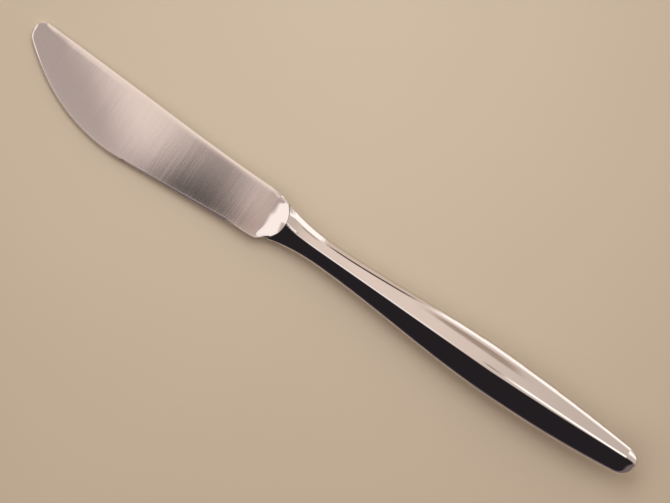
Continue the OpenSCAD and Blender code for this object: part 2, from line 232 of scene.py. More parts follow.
def handle_point(tree, size, share, angle, inset, before=0.0):
    """A point of the handle's skin. Share 0 is the mouth, its sides drawn forward, 1 the butt."""
    body = 0.86
    start = calc(tree, "SUBTRACT", size["Length"], size["Butt rounding"])
    along = add_node(tree, "ShaderNodeMapRange", {"clamp": True},
                     {"Value": share, "From Max": body, "To Min": before, "To Max": start})[0]
    turn = add_node(tree, "ShaderNodeMapRange", {"clamp": True},
                    {"Value": share, "From Min": body, "From Max": 1.0, "To Max": math.pi / 2})[0]
    # The butt is rounded as an ellipse
    sine = calc(tree, "SINE", turn)
    cosine = calc(tree, "COSINE", turn)
    closing = calc(tree, "MAXIMUM", cosine, 0.0)
    deep = calc(tree, "SUBTRACT", size["Butt rounding"], inset)
    x = calc(tree, "MULTIPLY_ADD", sine, deep, along)
    # The sides of the mouth reach forward of its middle
    y, _ = handle_section(tree, size, x, angle, inset, closing)
    half_mouth = add_node(tree, "ShaderNodeSeparateXYZ", None, {0: size["Mouth size"]})[0]
    out = calc(tree, "DIVIDE", y, half_mouth)
    out = calc(tree, "ABSOLUTE", out)
    out = calc(tree, "POWER", out, BOW_POWER)
    fade = add_node(tree, "ShaderNodeMapRange", {"interpolation_type": "SMOOTHSTEP"},
                    {"Value": x, "From Min": 0.0, "From Max": size["Neck at"],
                     "To Min": size["Mouth bow"], "To Max": 0.0})[0]
    bow = calc(tree, "MULTIPLY", out, fade)
    x = calc(tree, "SUBTRACT", x, bow)
    y, z = handle_section(tree, size, x, angle, inset, closing)
    return x, y, z


def finish_tree(tree, geometry, point, material, under=False):
    """Moves the grid's points to their place in metres, welds what meets, and sets the material."""
    weld_within, sharp_from = 0.001 * MM, math.radians(40)
    x, y, z = point
    place = add_node(tree, "ShaderNodeCombineXYZ", None, {0: x, 1: y, 2: z})[0]
    place = add_node(tree, "ShaderNodeVectorMath", {"operation": "ADD"},
                     {0: place, 1: HANDLE_AT})[0]
    place = add_node(tree, "ShaderNodeVectorMath", {"operation": "SCALE"},
                     {0: place, "Scale": MM})[0]
    geometry = add_node(tree, "GeometryNodeSetPosition", None,
                        {"Geometry": geometry, "Position": place})[0]
    geometry = add_node(tree, "GeometryNodeMergeByDistance", None,
                        {"Geometry": geometry, "Distance": weld_within})[0]
    if under:
        geometry = add_node(tree, "GeometryNodeFlipFaces", None, {"Mesh": geometry})[0]
    bend = add_node(tree, "GeometryNodeInputMeshEdgeAngle")[0]
    crease = add_node(tree, "FunctionNodeCompare", {"operation": "LESS_THAN"},
                      {0: bend, 1: sharp_from})[0]
    geometry = add_node(tree, "GeometryNodeSetShadeSmooth", {"domain": "EDGE"},
                        {"Geometry": geometry, "Shade Smooth": crease})[0]
    geometry = add_node(tree, "GeometryNodeRealizeInstances", None, {"Geometry": geometry})[0]
    geometry = add_node(tree, "GeometryNodeSetMaterial", None,
                        {"Geometry": geometry, "Material": material})[0]
    add_node(tree, "NodeGroupOutput", None, {0: geometry})


def made_by(tree, name):
    """The plain mesh that the tree makes, as an object at the origin."""
    maker = bpy.data.objects.new(name + "_maker", bpy.data.meshes.new(name + "_maker"))
    bpy.context.scene.collection.objects.link(maker)
    modifier = maker.modifiers.new("made", "NODES")
    modifier.node_group = tree
    for socket in tree.interface.items_tree:
        if socket.in_out == "INPUT":
            modifier[socket.identifier] = socket.default_value
    graph = bpy.context.evaluated_depsgraph_get()
    mesh = bpy.data.meshes.new_from_object(maker.evaluated_get(graph), depsgraph=graph)
    maker.modifiers.remove(modifier)
    bpy.data.objects.remove(maker)
    mesh.name = name
    piece = bpy.data.objects.new(name, mesh)
    bpy.context.scene.collection.objects.link(piece)
    return piece


def linear(colour):
    """An sRGB hex colour as linear light."""
    parts = [int(colour[i:i + 2], 16) / 255 for i in (1, 3, 5)]
    return [p / 12.92 if p <= 0.04045 else ((p + 0.055) / 1.055) ** 2.4 for p in parts] + [1.0]


def blended(tree, share, first, last):
    """The socket of a colour between two others, each linear or a socket itself."""
    return add_node(tree, "ShaderNodeMix", {"data_type": "RGBA"},
                    {"Factor": share, "A": first, "B": last})[2]


def new_material(name):
    """A material with an empty tree, that tree, and the object's own coordinates in it."""
    material = bpy.data.materials.new(name)
    material.use_nodes = True
    tree = material.node_tree
    tree.nodes.clear()
    return material, tree, add_node(tree, "ShaderNodeTexCoord")["Object"]


# Stainless steel 18/10, mirror polished: nearly clean reflections, with the faint haze and the
# hairlines of use. Hairlines are 0.05 mm on the real handle and are drawn 0.15 mm wide to show.
mirror_steel, tree, here = new_material("mirror polished stainless steel")
haze = add_node(tree, "ShaderNodeTexNoise", None,
                {"Vector": here, "Scale": 1 / (9 * MM), "Detail": 4.0, "Roughness": 0.6})[0]
haze_depth = add_node(tree, "ShaderNodeMapRange", None,
                      {"Value": haze, "From Min": 0.35, "From Max": 0.75,
                       "To Min": 0.035, "To Max": 0.07})[0]
hair_map = add_node(tree, "ShaderNodeMapping", None,
                    {"Vector": here, "Rotation": (0, 0, math.radians(24)),
                     "Scale": (1 / (9 * MM), 1 / (0.15 * MM), 1 / (3 * MM))})[0]
hair = add_node(tree, "ShaderNodeTexNoise", None,
                {"Vector": hair_map, "Scale": 1.0, "Detail": 2.0, "Roughness": 0.5})[0]
hair = add_node(tree, "ShaderNodeMapRange", None,
                {"Value": hair, "From Min": 0.68, "From Max": 0.8})[0]
hair_bump = add_node(tree, "ShaderNodeBump", {"invert": True},
                     {"Height": hair, "Strength": 0.12, "Distance": 0.01 * MM})[0]
tint = blended(tree, haze, linear("#e8e5e3"), linear("#e0dcd9"))
steel = add_node(tree, "ShaderNodeBsdfPrincipled", None,
                 {"Base Color": tint, "Metallic": 1.0, "Roughness": haze_depth,
                  "Normal": hair_bump})[0]
add_node(tree, "ShaderNodeOutputMaterial", None, {"Surface": steel})

shell_sizes = HANDLE_SIZES + [
    ("Rings", "NodeSocketInt", 150),
    ("Points round", "NodeSocketInt", 170),
]


def shell_tree(name, under):
    """A closed half shell: the outer skin from butt to mouth, then the inner skin back."""
    tree, size = steel_tree(name, shell_sizes)
    rows = calc(tree, "MULTIPLY", size["Rings"], 2.0)
    grid = add_node(tree, "GeometryNodeMeshGrid", None,
                    {"Size X": 1.0, "Size Y": 1.0, "Vertices X": rows,
                     "Vertices Y": size["Points round"]})[0]
    # Rows on one side of the grid's middle are the outer skin, and those past it the inner one
    at = add_node(tree, "GeometryNodeInputPosition")[0]
    at_x, at_y, _ = add_node(tree, "ShaderNodeSeparateXYZ", None, {0: at})
    last_row = calc(tree, "SUBTRACT", rows, 1.0)
    from_mouth = calc(tree, "MULTIPLY", at_x, last_row)
    far = calc(tree, "ABSOLUTE", from_mouth)
    last_ring = calc(tree, "SUBTRACT", size["Rings"], 0.5)
    share = add_node(tree, "ShaderNodeMapRange", {"clamp": True},
                     {"Value": far, "From Min": 0.5, "From Max": last_ring})[0]
    # Of the points round, the first and the last lie on the parting rim
    last_point = calc(tree, "SUBTRACT", size["Points round"], 3.0)
    widen = calc(tree, "MULTIPLY_ADD", last_point, 0.5, 1.0)
    step = calc(tree, "MULTIPLY", at_y, widen)
    step = calc(tree, "MULTIPLY", step, 2.0)
    half = calc(tree, "MULTIPLY", last_point, 0.5)
    less = calc(tree, "MULTIPLY", half, -1.0)
    angle = add_node(tree, "ShaderNodeMapRange", {"clamp": True},
                     {"Value": step, "From Min": less, "From Max": half, "To Max": math.pi})[0]
    # There both skins meet in the middle of the wall
    beyond = calc(tree, "ABSOLUTE", step)
    limit = calc(tree, "ADD", half, 0.5)
    on_rim = calc(tree, "GREATER_THAN", beyond, limit)
    inside = calc(tree, "GREATER_THAN", from_mouth, 0.0)
    depth = add_node(tree, "ShaderNodeMix", {"data_type": "FLOAT"},
                     {"Factor": on_rim, "A": inside, "B": 0.5})[0]
    inset = calc(tree, "MULTIPLY", depth, size["Wall"])
    x, y, z = handle_point(tree, size, share, angle, inset)
    if under:
        z = calc(tree, "MULTIPLY", z, -1.0)
    at_mouth = calc(tree, "COMPARE", from_mouth, -0.5, 0.1)
    grid = add_node(tree, "GeometryNodeStoreNamedAttribute",
                    {"data_type": "FLOAT", "domain": "POINT"},
                    {"Geometry": grid, "Name": "mouth_edge", "Value": at_mouth})[0]
    finish_tree(tree, grid, (x, y, z), mirror_steel, under)
    return tree


shells = []
for name, under in (("upper_shell_skin", False), ("lower_shell_skin", True)):
    shell = made_by(shell_tree(name, under), name)
    shells.append(shell)
# The outer rim of the mouth in the handle's own millimetres, which the blade's cove ends on
shell = shells[0].data
on_edge = np.empty(len(shell.vertices), np.float32)
shell.attributes["mouth_edge"].data.foreach_get("value", on_edge)
points = np.empty(len(shell.vertices) * 3, np.float32)
shell.vertices.foreach_get("co", points)
points = points.reshape(-1, 3)
mouth_edge = points[on_edge > 0.9] / MM - np.array(HANDLE_AT)
mouth_edge = mouth_edge[np.argsort(mouth_edge[:, 1])]
for shell, node in zip(shells, ("upper_shell", "lower_shell")):
    shell.data.attributes.remove(shell.data.attributes["mouth_edge"])
    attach(shell, "root")
    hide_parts(node)


# The solder line that joins the two shells all round. It is a tin and silver solder, run in
# molten between the rims, filed flush and buffed, and it stays duller than the steel beside it.

# Tin and silver solder, buffed: a soft grey line, a little uneven from the filing.
solder, tree, here = new_material("buffed tin silver solder")
grain = add_node(tree, "ShaderNodeTexNoise", None,
                 {"Vector": here, "Scale": 1 / (0.6 * MM), "Detail": 3.0})[0]
tint = blended(tree, grain, linear("#8d8780"), linear("#b3ada5"))
dull = add_node(tree, "ShaderNodeMapRange", None,
                {"Value": grain, "To Min": 0.28, "To Max": 0.5})[0]
pit = add_node(tree, "ShaderNodeBump", None,
               {"Height": grain, "Strength": 0.3, "Distance": 0.02 * MM})[0]
metal = add_node(tree, "ShaderNodeBsdfPrincipled", None,
                 {"Base Color": tint, "Metallic": 1.0, "Roughness": dull, "Normal": pit})[0]
add_node(tree, "ShaderNodeOutputMaterial", None, {"Surface": metal})

tree, size = steel_tree("seam solder", HANDLE_SIZES + [("Steps along", "NodeSocketInt", 421)])
grid = add_node(tree, "GeometryNodeMeshGrid", None,
                {"Size X": 1.0, "Size Y": 4.0, "Vertices X": size["Steps along"],
                 "Vertices Y": 5})[0]
at = add_node(tree, "GeometryNodeInputPosition")[0]
at_x, at_y, _ = add_node(tree, "ShaderNodeSeparateXYZ", None, {0: at})
last = calc(tree, "SUBTRACT", size["Steps along"], 1.0)
far = calc(tree, "ABSOLUTE", at_x)
steps = calc(tree, "MULTIPLY", far, last)
most = calc(tree, "MULTIPLY_ADD", last, 0.5, -1.0)
share = add_node(tree, "ShaderNodeMapRange", {"clamp": True},
                 {"Value": steps, "From Max": most, "To Min": 1.0, "To Max": 0.0})[0]
limit = calc(tree, "ADD", most, 0.5)
at_end = calc(tree, "GREATER_THAN", steps, limit)
belly = calc(tree, "GREATER_THAN", at_x, 0.0)
angle = calc(tree, "MULTIPLY", belly, math.pi)
# Round the strip: outer edge low, outer edge high, inner edge high, inner edge low, and back.
# Taken from midway between two rows, this margin takes in both and no third.
two_rows = 0.9
within = calc(tree, "COMPARE", at_y, 0.5, two_rows)
raised = calc(tree, "COMPARE", at_y, -0.5, two_rows)
depth = add_node(tree, "ShaderNodeMix", {"data_type": "FLOAT"},
                 {"Factor": at_end, "A": within, "B": 0.5})[0]
inset = calc(tree, "MULTIPLY", depth, size["Wall"])
level = add_node(tree, "ShaderNodeMix", {"data_type": "FLOAT"},
                 {"Factor": at_end, "A": raised, "B": 0.5})[0]
level = calc(tree, "SUBTRACT", level, 0.5)
z = calc(tree, "MULTIPLY", level, size["Seam"])
x, y, _ = handle_point(tree, size, share, angle, inset)
finish_tree(tree, grid, (x, y, z), solder)
seam = made_by(tree, "seam_solder_line")
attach(seam, "root")
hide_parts("seam_solder")


# The blade, forged in one piece with its shoulder, plug and tang from stainless knife steel. Its
# faces are ground to a thin cutting edge and satin finished across, and a polished cove rises to
# the shoulder, which meets the handle's mouth. Plug and tang are hidden in the handle.

# Lengths are in millimetres, and X is counted from the middle of the handle's mouth
blade_l, spine_rise, belly_drop, belly_x = 92.0, 9.1, 11.58, 38.0
belly_climb = math.radians(4.7)
corner_r, nose_r, front_flat = 2.6, 4.3, 1.0
spine_sag = 0.4
spine_t, edge_land, bevel_slope = 2.2, 0.3, 0.8
face_fall_x, face_fall_y = 0.004353, 0.021937
face_crown, crown_way = 0.12, 12.0
heel_l, heel_w, heel_drop, cove_l = 9.0, 15.2, 0.4, 6.0
mouth_w, neck_w, neck_x = 11.0, 8.4, 13.0
ring_t = 0.12
# The heel's corner on the belly's side is this much fuller, reached over this way, ended here
heel_fuller, fuller_way, fuller_end = 0.3, 4.0, 2.2
# Toward the mouth the bevel runs out from here, over this way, as the edge's land rises past the
# face by this much
bevel_end, bevel_fade, bevel_over = 16.0, 8.0, 0.05
# At the nose the edge's land is this much thicker, over this way
nose_land, nose_way = 0.25, 9.0
front_x = corner_r - blade_l
deep_x = belly_x - blade_l
corner_y = spine_rise - corner_r
nose_x, nose_y = nose_r - blade_l, corner_y - front_flat
nose_drop = nose_y + belly_drop
belly_r = ((deep_x - nose_x) ** 2 + nose_drop ** 2 - nose_r ** 2) / 2 / (nose_drop - nose_r)
belly_y = belly_r - belly_drop
nose_turn = math.atan2(nose_y - belly_y, nose_x - deep_x)
nose_end = nose_x + nose_r * math.cos(nose_turn)
climb_end = deep_x + belly_r * math.sin(belly_climb)


def ease(u):
    """A smooth way from 0 to 1."""
    u = np.clip(u, 0, 1)
    return u * u * (3 - 2 * u)


def heel_half(x):
    """Half width and side shift of the heel, narrowing smoothly to the handle's mouth."""
    u = 1 + x / heel_l
    rise = -(mouth_w - neck_w) / neck_x * heel_l
    half = heel_w / 2 + (mouth_w - heel_w) / 2 * ease(u) + rise * (u ** 3 - u ** 2)
    return half, -heel_drop * ease(-x / heel_l)


def spine_line(x):
    """The upper edge of the blade's outline: rounded corner, dipping spine, heel."""
    half, shift = heel_half(x)
    front_half, front_shift = heel_half(-heel_l)
    corner = corner_y + np.sqrt(np.maximum(corner_r ** 2 - (x - front_x) ** 2, 0))
    u = np.clip((x - front_x) / (-heel_l - front_x), 0, 1)
    spine = spine_rise + u * (front_shift + front_half - spine_rise)
    # The sag's curve peaks at 27/256, three quarters of the way to the heel
    spine = spine - spine_sag * 256 / 27 * u ** 3 * (1 - u)
    return np.where(x < front_x, corner, np.where(x < -heel_l, spine, shift + half))


def belly_line(x):
    """The cutting edge: round nose, long front sweep, straight rear, heel."""
    half, shift = heel_half(x)
    front_half, front_shift = heel_half(-heel_l)
    nose = nose_y - np.sqrt(np.maximum(nose_r ** 2 - (x - nose_x) ** 2, 0))
    sweep = belly_y - np.sqrt(np.maximum(belly_r ** 2 - (x - deep_x) ** 2, 0))
    rear = front_shift - front_half - (-heel_l - x) * math.tan(belly_climb)
    line = np.where(x < nose_end, nose, np.where(x < climb_end, sweep, rear))
    fuller = heel_fuller * ease((x + heel_l) / fuller_way) * ease((-fuller_end - x) / 2)
    return np.where(x < -heel_l, line, shift - half - fuller)


def distance_to(x, y, line_x, line_y):
    """Distance of each point from a fine polyline."""
    near = np.full(x.shape, 1e9)
    for ax, ay, bx, by in zip(line_x[:-1], line_y[:-1], line_x[1:], line_y[1:]):
        run, rise = bx - ax, by - ay
        t = np.clip(((x - ax) * run + (y - ay) * rise) / (run * run + rise * rise), 0, 1)
        near = np.minimum(near, np.hypot(x - ax - t * run, y - ay - t * rise))
    return near


def flat_level(x, y):
    """Height of the flat face over the middle plane: it falls toward the front and the edge."""
    return spine_t / 2 + face_fall_x * (x + cove_l) + face_fall_y * (y - (heel_w / 2 - heel_drop))


def crown_at(x, across):
    """Height of the face's crown at a share of the width, fading out toward the front."""
    return face_crown * (1 - (2 * across - 1) ** 2) * ease((x + blade_l) / crown_way)


# Rows across the blade from front to heel, closer together round the corner and the nose
nose_rows, body_rows, middle_columns, cove_rows = 34, 150, 34, 31
turn = np.linspace(0, math.pi / 2, nose_rows)
rows_x = np.concatenate([
    -blade_l + nose_r * (1 - np.cos(turn)) + 1e-4,
    np.linspace(nose_x, -cove_l, body_rows)[1:]])
spine_steps = np.array([0, .03, .08, .15, .24, .35, .48, .63, .8, 1, 1.22, 1.48, 1.8, 2.2])
belly_steps = np.array([.06, .14, .24, .38, .56, .8, 1.1, 1.5])
top_y, low_y = spine_line(rows_x), belly_line(rows_x)
# Round the nose, where the blade is narrow, the steps shrink with its width
steps_room = 2.4
scale = np.minimum(1, (top_y - low_y) / (steps_room * (spine_steps[-1] + belly_steps[-1])))
from_spine = top_y[:, None] - scale[:, None] * spine_steps
# The bevel's upper corner is a column of its own, so that it stays crisp. Its distance from the
# edge is where the bevel meets the face, found in a few rounds as the face is crowned.
low_level = flat_level(rows_x, low_y)
edge_half = edge_land / 2 + (low_level + bevel_over - edge_land / 2) * ease(
    (rows_x + bevel_end) / bevel_fade)
edge_half = edge_half + nose_land * ease((nose_way - blade_l - rows_x) / nose_way)
bevel_w = np.zeros(len(rows_x))
for _ in range(4):
    climb = face_fall_y * bevel_w + crown_at(rows_x, bevel_w / (top_y - low_y))
    bevel_w = (low_level + climb - edge_half) / bevel_slope * np.hypot(
        1, np.gradient(low_y, rows_x))
least_bevel, most_bevel = 0.02, 0.12
bevel_w = np.clip(bevel_w, least_bevel, most_bevel * (top_y - low_y) + least_bevel)
from_belly = low_y[:, None] + np.concatenate(
    [bevel_w[:, None] * (0, 0.5, 1), bevel_w[:, None] + scale[:, None] * belly_steps], axis=1)
blend = np.linspace(0, 1, middle_columns)[1:-1]
middle = from_spine[:, -1:] + (from_belly[:, -1:] - from_spine[:, -1:]) * blend
blade_y = np.concatenate([from_spine, middle, from_belly[:, ::-1]], axis=1)
blade_x = np.repeat(rows_x[:, None], blade_y.shape[1], axis=1)

# Height of the face over the middle plane: flat, slightly crowned, rounded at spine and front,
# with a fine bevel on the cutting edge
fine = np.concatenate([-blade_l + nose_r * (1 - np.cos(np.linspace(0, math.pi / 2, 120))),
                       np.linspace(nose_x, 1, 300)[1:]])
spine_fine = spine_line(fine)
belly_fine = belly_line(fine)
spine_near = distance_to(blade_x, blade_y,
                         np.append(-blade_l, fine), np.append(nose_y, spine_fine))
belly_near = distance_to(blade_x, blade_y, fine, belly_fine)
across = (blade_y - low_y[:, None]) / (top_y - low_y)[:, None]
level, crown = flat_level(blade_x, blade_y), crown_at(blade_x, across)
# The spine's rounding is this wide and deep, and by so much less toward the front
spine_round_w, spine_round_d, front_less_w, front_less_d = 1.9, 0.28, 0.9, 0.12
to_front = ease((front_x + 4 - blade_x) / 6)
round_w = spine_round_w - front_less_w * to_front
round_d = spine_round_d - front_less_d * to_front
inward = np.clip(1 - spine_near / round_w, 0, 1)
rounding = round_d * inward ** 3
ground = edge_half[:, None] + bevel_slope * belly_near
face = level + crown - rounding
# The bevel's upper corner is crisp along the belly and a little softer round the nose
belly_soft, nose_soft, soft_way = 0.002, 0.16, 5.0
soft = belly_soft + nose_soft * (1 - ease((blade_x - nose_x) / soft_way))
mix = np.clip(0.5 + 0.5 * (ground - face) / soft, 0, 1)
blade_z = ground * (1 - mix) + face * mix - soft * mix * (1 - mix)

# The cove, from the straight line across the heel up to the handle's mouth
# Each column ends on the rim of the mouth, at a point found in a few rounds
share = across[-1]
end_y = share * (top_y[-1] - low_y[-1]) + low_y[-1]
for _ in range(12):
    end_x = -MOUTH_BOW * np.abs(end_y / (mouth_w / 2)) ** BOW_POWER - ring_t
    end_y = belly_line(end_x) + share * (spine_line(end_x) - belly_line(end_x))
end_z = np.interp(end_y, mouth_edge[:, 1], mouth_edge[:, 2])
cove_lead = 0.4
# The cove stays full out to the belly's side and falls off only close to the mouth
full_columns, fullness, fall_off = 9, 0.9, 0.3
for g in np.linspace(0, 1, cove_rows)[1:]:
    x = -cove_l + (end_x + cove_l) * g
    y = belly_line(x) + share * (spine_line(x) - belly_line(x))
    climb = cove_lead * g + (1 - cove_lead) * g * g
    z = blade_z[len(rows_x) - 1] * (1 - climb) + end_z * climb
    edge = z[-full_columns:]
    edge += (edge[0] - edge) * fullness * ease((1 - g) / fall_off)
    blade_x, blade_y, blade_z = (
        np.vstack([rows, row]) for rows, row in ((blade_x, x), (blade_y, y), (blade_z, z)))

# The upper skin, its mirror image below, and the narrow walls along spine, edge, front and mouth
count, width = blade_x.shape
upper = np.stack([blade_x, blade_y, blade_z], axis=-1).reshape(-1, 3)
lower = upper * (1, 1, -1)
corners = np.concatenate([upper, lower]).tolist()
faces = []
for i in range(count - 1):
    for j in range(width - 1):
        a, b = i * width + j, (i + 1) * width + j
        faces.append((a, a + 1, b + 1, b))
half = count * width
faces += [tuple(v + half for v in reversed(f)) for f in faces]
for i in range(count - 1):
    for j, way in ((0, 1), (width - 1, -1)):
        a, b = i * width + j, (i + 1) * width + j
        faces.append((a, b, b + half, a + half)[::way])
for j in range(width - 1):
    for i, way in ((0, -1), (count - 1, 1)):
        a = i * width + j
        faces.append((a, a + 1, a + 1 + half, a + half)[::way])
# Plug and tang, hidden in the handle: a block that fills the mouth, and a flat bar tapering back
hidden = [(-0.4, 4.2, 2.2), (7.0, 3.2, 1.9), (7.0, 1.8, 1.0), (62.0, 1.3, 1.0)]
around = [(1, 0.25), (0.35, 1), (-0.35, 1), (-1, 0.25),
          (-1, -0.25), (-0.35, -1), (0.35, -1), (1, -0.25)]
start, sides = len(corners), len(around)
for x, y, z in hidden:
    corners += [(x, y * a, z * b) for a, b in around]
for k in range(len(hidden) - 1):
    for i in range(sides):
        a, b = start + sides * k + i, start + sides * k + (i + 1) % sides
        faces.append((a, b, b + sides, a + sides))
faces.append(tuple(start + i for i in reversed(range(sides))))
faces.append(tuple(len(corners) - sides + i for i in range(sides)))

mesh = bpy.data.meshes.new("blade_forged")
mesh.from_pydata([[(c + o) * MM for c, o in zip(p, HANDLE_AT)] for p in corners], [], faces)
mesh.validate()
mesh.polygons.foreach_set("use_smooth", [True] * len(mesh.polygons))
mesh.set_sharp_from_angle(angle=math.radians(45))
# A crisp line where the cove begins, and along the bevel's upper corner from nose to heel
cove_row, corner_column = len(rows_x) - 1, width - 3
for edge in mesh.edges:
    rows = [v % half // width for v in edge.vertices if v < 2 * half]
    columns = [v % half % width for v in edge.vertices if v < 2 * half]
    if rows == [cove_row] * 2 or (columns == [corner_column] * 2 and nose_end + 1
                                  < rows_x[min(*rows, cove_row)] < bevel_fade - bevel_end):
        edge.use_edge_sharp = True
blade = bpy.data.objects.new("blade_forged", mesh)
bpy.context.scene.collection.objects.link(blade)

# Stainless knife steel, satin ground: fine lines across the blade, finer than 0.1 mm on the real
# one and drawn about 0.3 mm wide to show, blur the reflections lengthwise. The cove shares them.
satin_steel, tree, here = new_material("satin ground stainless knife steel")
grind_lean = math.radians(-4)
grind_map = add_node(tree, "ShaderNodeMapping", None,
                     {"Vector": here, "Rotation": (0, 0, grind_lean),
                      "Scale": (1 / (0.3 * MM), 1 / (12 * MM), 1 / (12 * MM))})[0]
grind = add_node(tree, "ShaderNodeTexNoise", None,
                 {"Vector": grind_map, "Scale": 1.0, "Detail": 5.0, "Roughness": 0.65})[0]
sweep_map = add_node(tree, "ShaderNodeMapping", None,
                     {"Vector": here, "Rotation": (0, 0, grind_lean),
                      "Scale": (1 / (4 * MM), 1 / (60 * MM), 1 / (60 * MM))})[0]
sweep = add_node(tree, "ShaderNodeTexNoise", None,
                 {"Vector": sweep_map, "Scale": 1.0, "Detail": 2.0})[0]
rough = add_node(tree, "ShaderNodeMapRange", None,
                 {"Value": grind, "From Min": 0.3, "From Max": 0.7,
                  "To Min": 0.045, "To Max": 0.075})[0]
lines = add_node(tree, "ShaderNodeBump", None,
                 {"Height": grind, "Strength": 0.2, "Distance": 0.01 * MM})[0]
lines = add_node(tree, "ShaderNodeBump", None,
                 {"Height": sweep, "Strength": 0.2, "Distance": 0.03 * MM, "Normal": lines})[0]
tint = blended(tree, grind, linear("#e8e4e1"), linear("#dfdad6"))
steel = add_node(tree, "ShaderNodeBsdfPrincipled", None,
                 {"Base Color": tint, "Metallic": 1.0, "Roughness": rough, "Normal": lines})[0]
add_node(tree, "ShaderNodeOutputMaterial", None, {"Surface": steel})
mesh.materials.append(satin_steel)
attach(blade, "root")
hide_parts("blade")


# The solder ring between the blade's shoulder and the handle's mouth. It is run in when the two
# are joined, and wiped flush with both, so that only a fine line shows round the joint.

tree, size = steel_tree("mouth solder", HANDLE_SIZES + [
    ("Ring thickness", "NodeSocketFloat", ring_t),
    ("Steps round", "NodeSocketInt", 160),
])
total = calc(tree, "MULTIPLY_ADD", size["Steps round"], 2.0, 1.0)
grid = add_node(tree, "GeometryNodeMeshGrid", None,
                {"Size X": 1.0, "Size Y": 4.0, "Vertices X": total, "Vertices Y": 5})[0]
at = add_node(tree, "GeometryNodeInputPosition")[0]
at_x, at_y, _ = add_node(tree, "ShaderNodeSeparateXYZ", None, {0: at})
along = calc(tree, "ADD", at_x, 0.5)
double = calc(tree, "MULTIPLY", size["Steps round"], 2.0)
step = calc(tree, "MULTIPLY", along, double)
step = calc(tree, "ROUND", step)
step = calc(tree, "FLOORED_MODULO", step, double)
middle = calc(tree, "SUBTRACT", size["Steps round"], 0.5)
aside = calc(tree, "SUBTRACT", step, middle)
beneath = calc(tree, "GREATER_THAN", aside, 0.0)
aside = calc(tree, "ABSOLUTE", aside)
angle = add_node(tree, "ShaderNodeMapRange", {"clamp": True},
                 {"Value": aside, "From Min": 0.5, "From Max": middle,
                  "To Min": math.pi, "To Max": 0.0})[0]
within = calc(tree, "COMPARE", at_y, 0.5, two_rows)
behind = calc(tree, "COMPARE", at_y, -0.5, two_rows)
inset = calc(tree, "MULTIPLY", within, size["Wall"])
before = calc(tree, "SUBTRACT", behind, 1.0)
before = calc(tree, "MULTIPLY", before, size["Ring thickness"])
x, y, z = handle_point(tree, size, 0.0, angle, inset, before)
mirror = calc(tree, "MULTIPLY_ADD", beneath, -2.0, 1.0)
z = calc(tree, "MULTIPLY", z, mirror)
finish_tree(tree, grid, (x, y, z), solder)
ring = made_by(tree, "mouth_solder_ring")
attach(ring, "root")
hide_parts("mouth_solder")


# The bedding cement that fills the hollow handle round the tang: a resin and powder cement,
# poured in hot. It can't be seen in the finished knife, and the CAD's own solid stays for it.

# Resin cement: brown, dull and slightly grainy, with grains of about half a millimetre.
cement, tree, here = new_material("poured resin cement")
grain = add_node(tree, "ShaderNodeTexNoise", None,
                 {"Vector": here, "Scale": 1 / (0.5 * MM), "Detail": 4.0})[0]
tint = blended(tree, grain, linear("#5d4433"), linear("#86674f"))
rub = add_node(tree, "ShaderNodeBump", None,
               {"Height": grain, "Strength": 0.4, "Distance": 0.1 * MM})[0]
body = add_node(tree, "ShaderNodeBsdfPrincipled", None,
                {"Base Color": tint, "Roughness": 0.75, "Normal": rub})[0]
add_node(tree, "ShaderNodeOutputMaterial", None, {"Surface": body})
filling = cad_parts["bedding_cement"]
filling.data.materials.clear()
filling.data.materials.append(cement)


# The table top: a plain beige sheet that the knife lies on. The knife rests on the ridge of its
# handle and on the underside of the blade near its front, so the table tilts a little to meet both.

low = []
for piece in (blade, shells[1]):
    points = np.empty(len(piece.data.vertices) * 3, np.float32)
    piece.data.vertices.foreach_get("co", points)
    low.append(points.reshape(-1, 3).astype(float))
# Only the part of the blade ahead of this X may rest on the table, so the rest is put far up
front_part, far_up = -0.05, 1e3
side_slope = -face_fall_y
blade_low, handle_low = (p[:, 2] - side_slope * p[:, 1] for p in low)
# The slope along the knife comes from the two points that touch, found in a few rounds
table_slope = 0.0
for _ in range(8):
    a = np.argmin(blade_low - table_slope * low[0][:, 0] + far_up * (low[0][:, 0] > front_part))
    b = np.argmin(handle_low - table_slope * low[1][:, 0])
    table_slope = (handle_low[b] - blade_low[a]) / (low[1][b, 0] - low[0][a, 0])
table_level = min(blade_low[a] - table_slope * low[0][a, 0],
                  handle_low[b] - table_slope * low[1][b, 0])

half = 4.0
mesh = bpy.data.meshes.new("table_top")
spots = [(-half, -half), (half, -half), (half, half), (-half, half)]
mesh.from_pydata([(x, y, table_level + table_slope * x + side_slope * y) for x, y in spots], [],
                 [(0, 1, 2, 3)])
table = bpy.data.objects.new("table_top", mesh)
bpy.context.scene.collection.objects.link(table)

# Beige card: matt and even, with a slow drift of tone.
card, tree, here = new_material("beige card")
drift = add_node(tree, "ShaderNodeTexNoise", None,
                 {"Vector": here, "Scale": 1 / (90 * MM), "Detail": 2.0})[0]
tint = blended(tree, drift, linear("#cdbfaa"), linear("#c8baa3"))
sheet = add_node(tree, "ShaderNodeBsdfPrincipled", None,
                 {"Base Color": tint, "Roughness": 0.9, "Specular IOR Level": 0.1})[0]
add_node(tree, "ShaderNodeOutputMaterial", None, {"Surface": sheet})
mesh.materials.append(card)


# The studio: a soft light over the spine's side of the knife, and a dark room on the other side.
# The world holds what the steel mirrors: the lit ceiling, white panels toward the light and past
# the blade's front, the dark room, and overhead the soft shapes that the satin blade shows.

world = bpy.data.worlds.new("studio")
bpy.context.scene.world = world
world.use_nodes = True
tree = world.node_tree
tree.nodes.clear()
way = add_node(tree, "ShaderNodeTexCoord")["Generated"]
way_x, way_y, way_z = add_node(tree, "ShaderNodeSeparateXYZ", None, {0: way})
